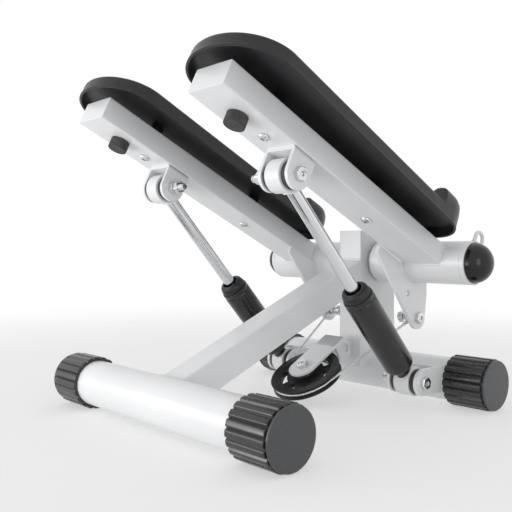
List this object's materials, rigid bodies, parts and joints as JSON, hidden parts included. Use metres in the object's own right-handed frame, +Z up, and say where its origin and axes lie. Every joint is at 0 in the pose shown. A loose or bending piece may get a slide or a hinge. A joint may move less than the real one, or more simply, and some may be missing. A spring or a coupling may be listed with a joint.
{
  "type": "mini stepper",
  "caption": "Mini stepper: white steel frame on cross tubes with ribbed caps, twin pedal arms on one axle with dampers, and a cable round a pulley that links them",
  "frame": {"origin": "On the floor, in the middle of the outer box", "axes": "+Z up, +Y from the near tube to the pedal axle, so a user faces +Y, +X to the user's right and along the axle and both cross tubes"},
  "size_m": [0.364, 0.3843, 0.3634],
  "materials": {
    "white_paint": "satin powder coat",
    "black_plastic": "moulded, satin",
    "gloss_black": "glossy",
    "gloss_paint": "glossy black paint",
    "black_rubber": "matt moulded rubber",
    "bright_steel": "hard chrome, polished",
    "wire_steel": "bright drawn wire",
    "plated_steel": "zinc plated",
    "nylon": "natural nylon"
  },
  "bodies": {
    "base": {"near_stabiliser_tube": "white_paint", "far_stabiliser_tube": "white_paint", "main_beam": "white_paint", "pivot_post": "white_paint", "pulley_bracket": "white_paint", "near_right_end_cap": "black_plastic", "near_left_end_cap": "black_plastic", "far_right_end_cap": "black_plastic", "far_left_end_cap": "black_plastic", "pivot_axle": "plated_steel", "pivot_axle_nut": "plated_steel", "pulley_bolt": "plated_steel", "cable": "wire_steel", "right_lower_bracket": "white_paint", "right_lower_damper_bolt": "plated_steel", "left_lower_bracket": "white_paint", "left_lower_damper_bolt": "plated_steel"},
    "pulley_wheel": {"pulley": "black_plastic"},
    "right_pedal": {"right_pivot_tube": "white_paint", "right_inner_bush": "nylon", "right_outer_bush": "nylon", "right_end_plug": "gloss_black", "right_band_eye": "white_paint", "right_lever_plate": "white_paint", "right_cable_bolt": "plated_steel", "right_pedal_arm": "white_paint", "right_footplate": "black_plastic", "right_front_screw": "plated_steel", "right_rear_screw": "plated_steel", "right_bumper": "black_rubber", "right_upper_bracket": "white_paint", "right_upper_damper_bolt": "plated_steel"},
    "left_pedal": {"left_pivot_tube": "white_paint", "left_inner_bush": "nylon", "left_outer_bush": "nylon", "left_end_plug": "gloss_black", "left_band_eye": "white_paint", "left_lever_plate": "white_paint", "left_cable_bolt": "plated_steel", "left_pedal_arm": "white_paint", "left_footplate": "black_plastic", "left_front_screw": "plated_steel", "left_rear_screw": "plated_steel", "left_bumper": "black_rubber", "left_upper_bracket": "white_paint", "left_upper_damper_bolt": "plated_steel"},
    "right_damper_tube": {"right_damper_cylinder": "gloss_paint", "right_damper_gland": "black_plastic", "right_lower_eye": "white_paint", "right_lower_eye_bush": "black_rubber"},
    "left_damper_tube": {"left_damper_cylinder": "gloss_paint", "left_damper_gland": "black_plastic", "left_lower_eye": "white_paint", "left_lower_eye_bush": "black_rubber"},
    "right_damper_piston": {"right_damper_rod": "bright_steel", "right_upper_eye": "white_paint", "right_upper_eye_bush": "black_rubber"},
    "left_damper_piston": {"left_damper_rod": "bright_steel", "left_upper_eye": "white_paint", "left_upper_eye_bush": "black_rubber"}
  },
  "joints": [
    {"name": "right_pedal_hinge", "type": "hinge", "parent": "base", "child": "right_pedal", "pos_m": [0, 0.15704, 0.165], "axis": [1, 0, 0], "range_deg": [-12, 12], "deforming": ["cable"]},
    {"name": "left_pedal_hinge", "type": "hinge", "parent": "base", "child": "left_pedal", "pos_m": [0, 0.15704, 0.165], "axis": [1, 0, 0], "range_deg": [-12.5, 12.5], "deforming": ["cable"]},
    {"name": "right_damper_hinge", "type": "hinge", "parent": "base", "child": "right_damper_tube", "pos_m": [0.105, 0.10094, 0.0315], "axis": [1, 0, 0], "range_deg": [-10, 10]},
    {"name": "left_damper_hinge", "type": "hinge", "parent": "base", "child": "left_damper_tube", "pos_m": [-0.095, 0.10094, 0.0315], "axis": [1, 0, 0], "range_deg": [-10, 10]},
    {"name": "right_piston_hinge", "type": "hinge", "parent": "right_pedal", "child": "right_damper_piston", "pos_m": [0.105, -0.09792, 0.25019], "axis": [1, 0, 0], "range_deg": [-3, 3]},
    {"name": "left_piston_hinge", "type": "hinge", "parent": "left_pedal", "child": "left_damper_piston", "pos_m": [-0.095, -0.09792, 0.25019], "axis": [1, 0, 0], "range_deg": [-3, 3]},
    {"name": "pulley_spin", "type": "hinge", "parent": "base", "child": "pulley_wheel", "pos_m": [0, 0.04194, 0.031], "axis": [0, -0.4776, 0.8786], "range_deg": [-19, 19]}
  ],
  "couplings": [
    {"joint": "left_pedal_hinge", "follows": "right_pedal_hinge", "ratio": -1},
    {"joint": "right_damper_hinge", "follows": "right_pedal_hinge", "ratio": 0.7957},
    {"joint": "left_damper_hinge", "follows": "right_pedal_hinge", "ratio": -0.7957},
    {"joint": "right_piston_hinge", "follows": "right_pedal_hinge", "ratio": -0.2043},
    {"joint": "left_piston_hinge", "follows": "right_pedal_hinge", "ratio": 0.2043},
    {"joint": "pulley_spin", "follows": "right_pedal_hinge", "ratio": 1.5691}
  ]
}
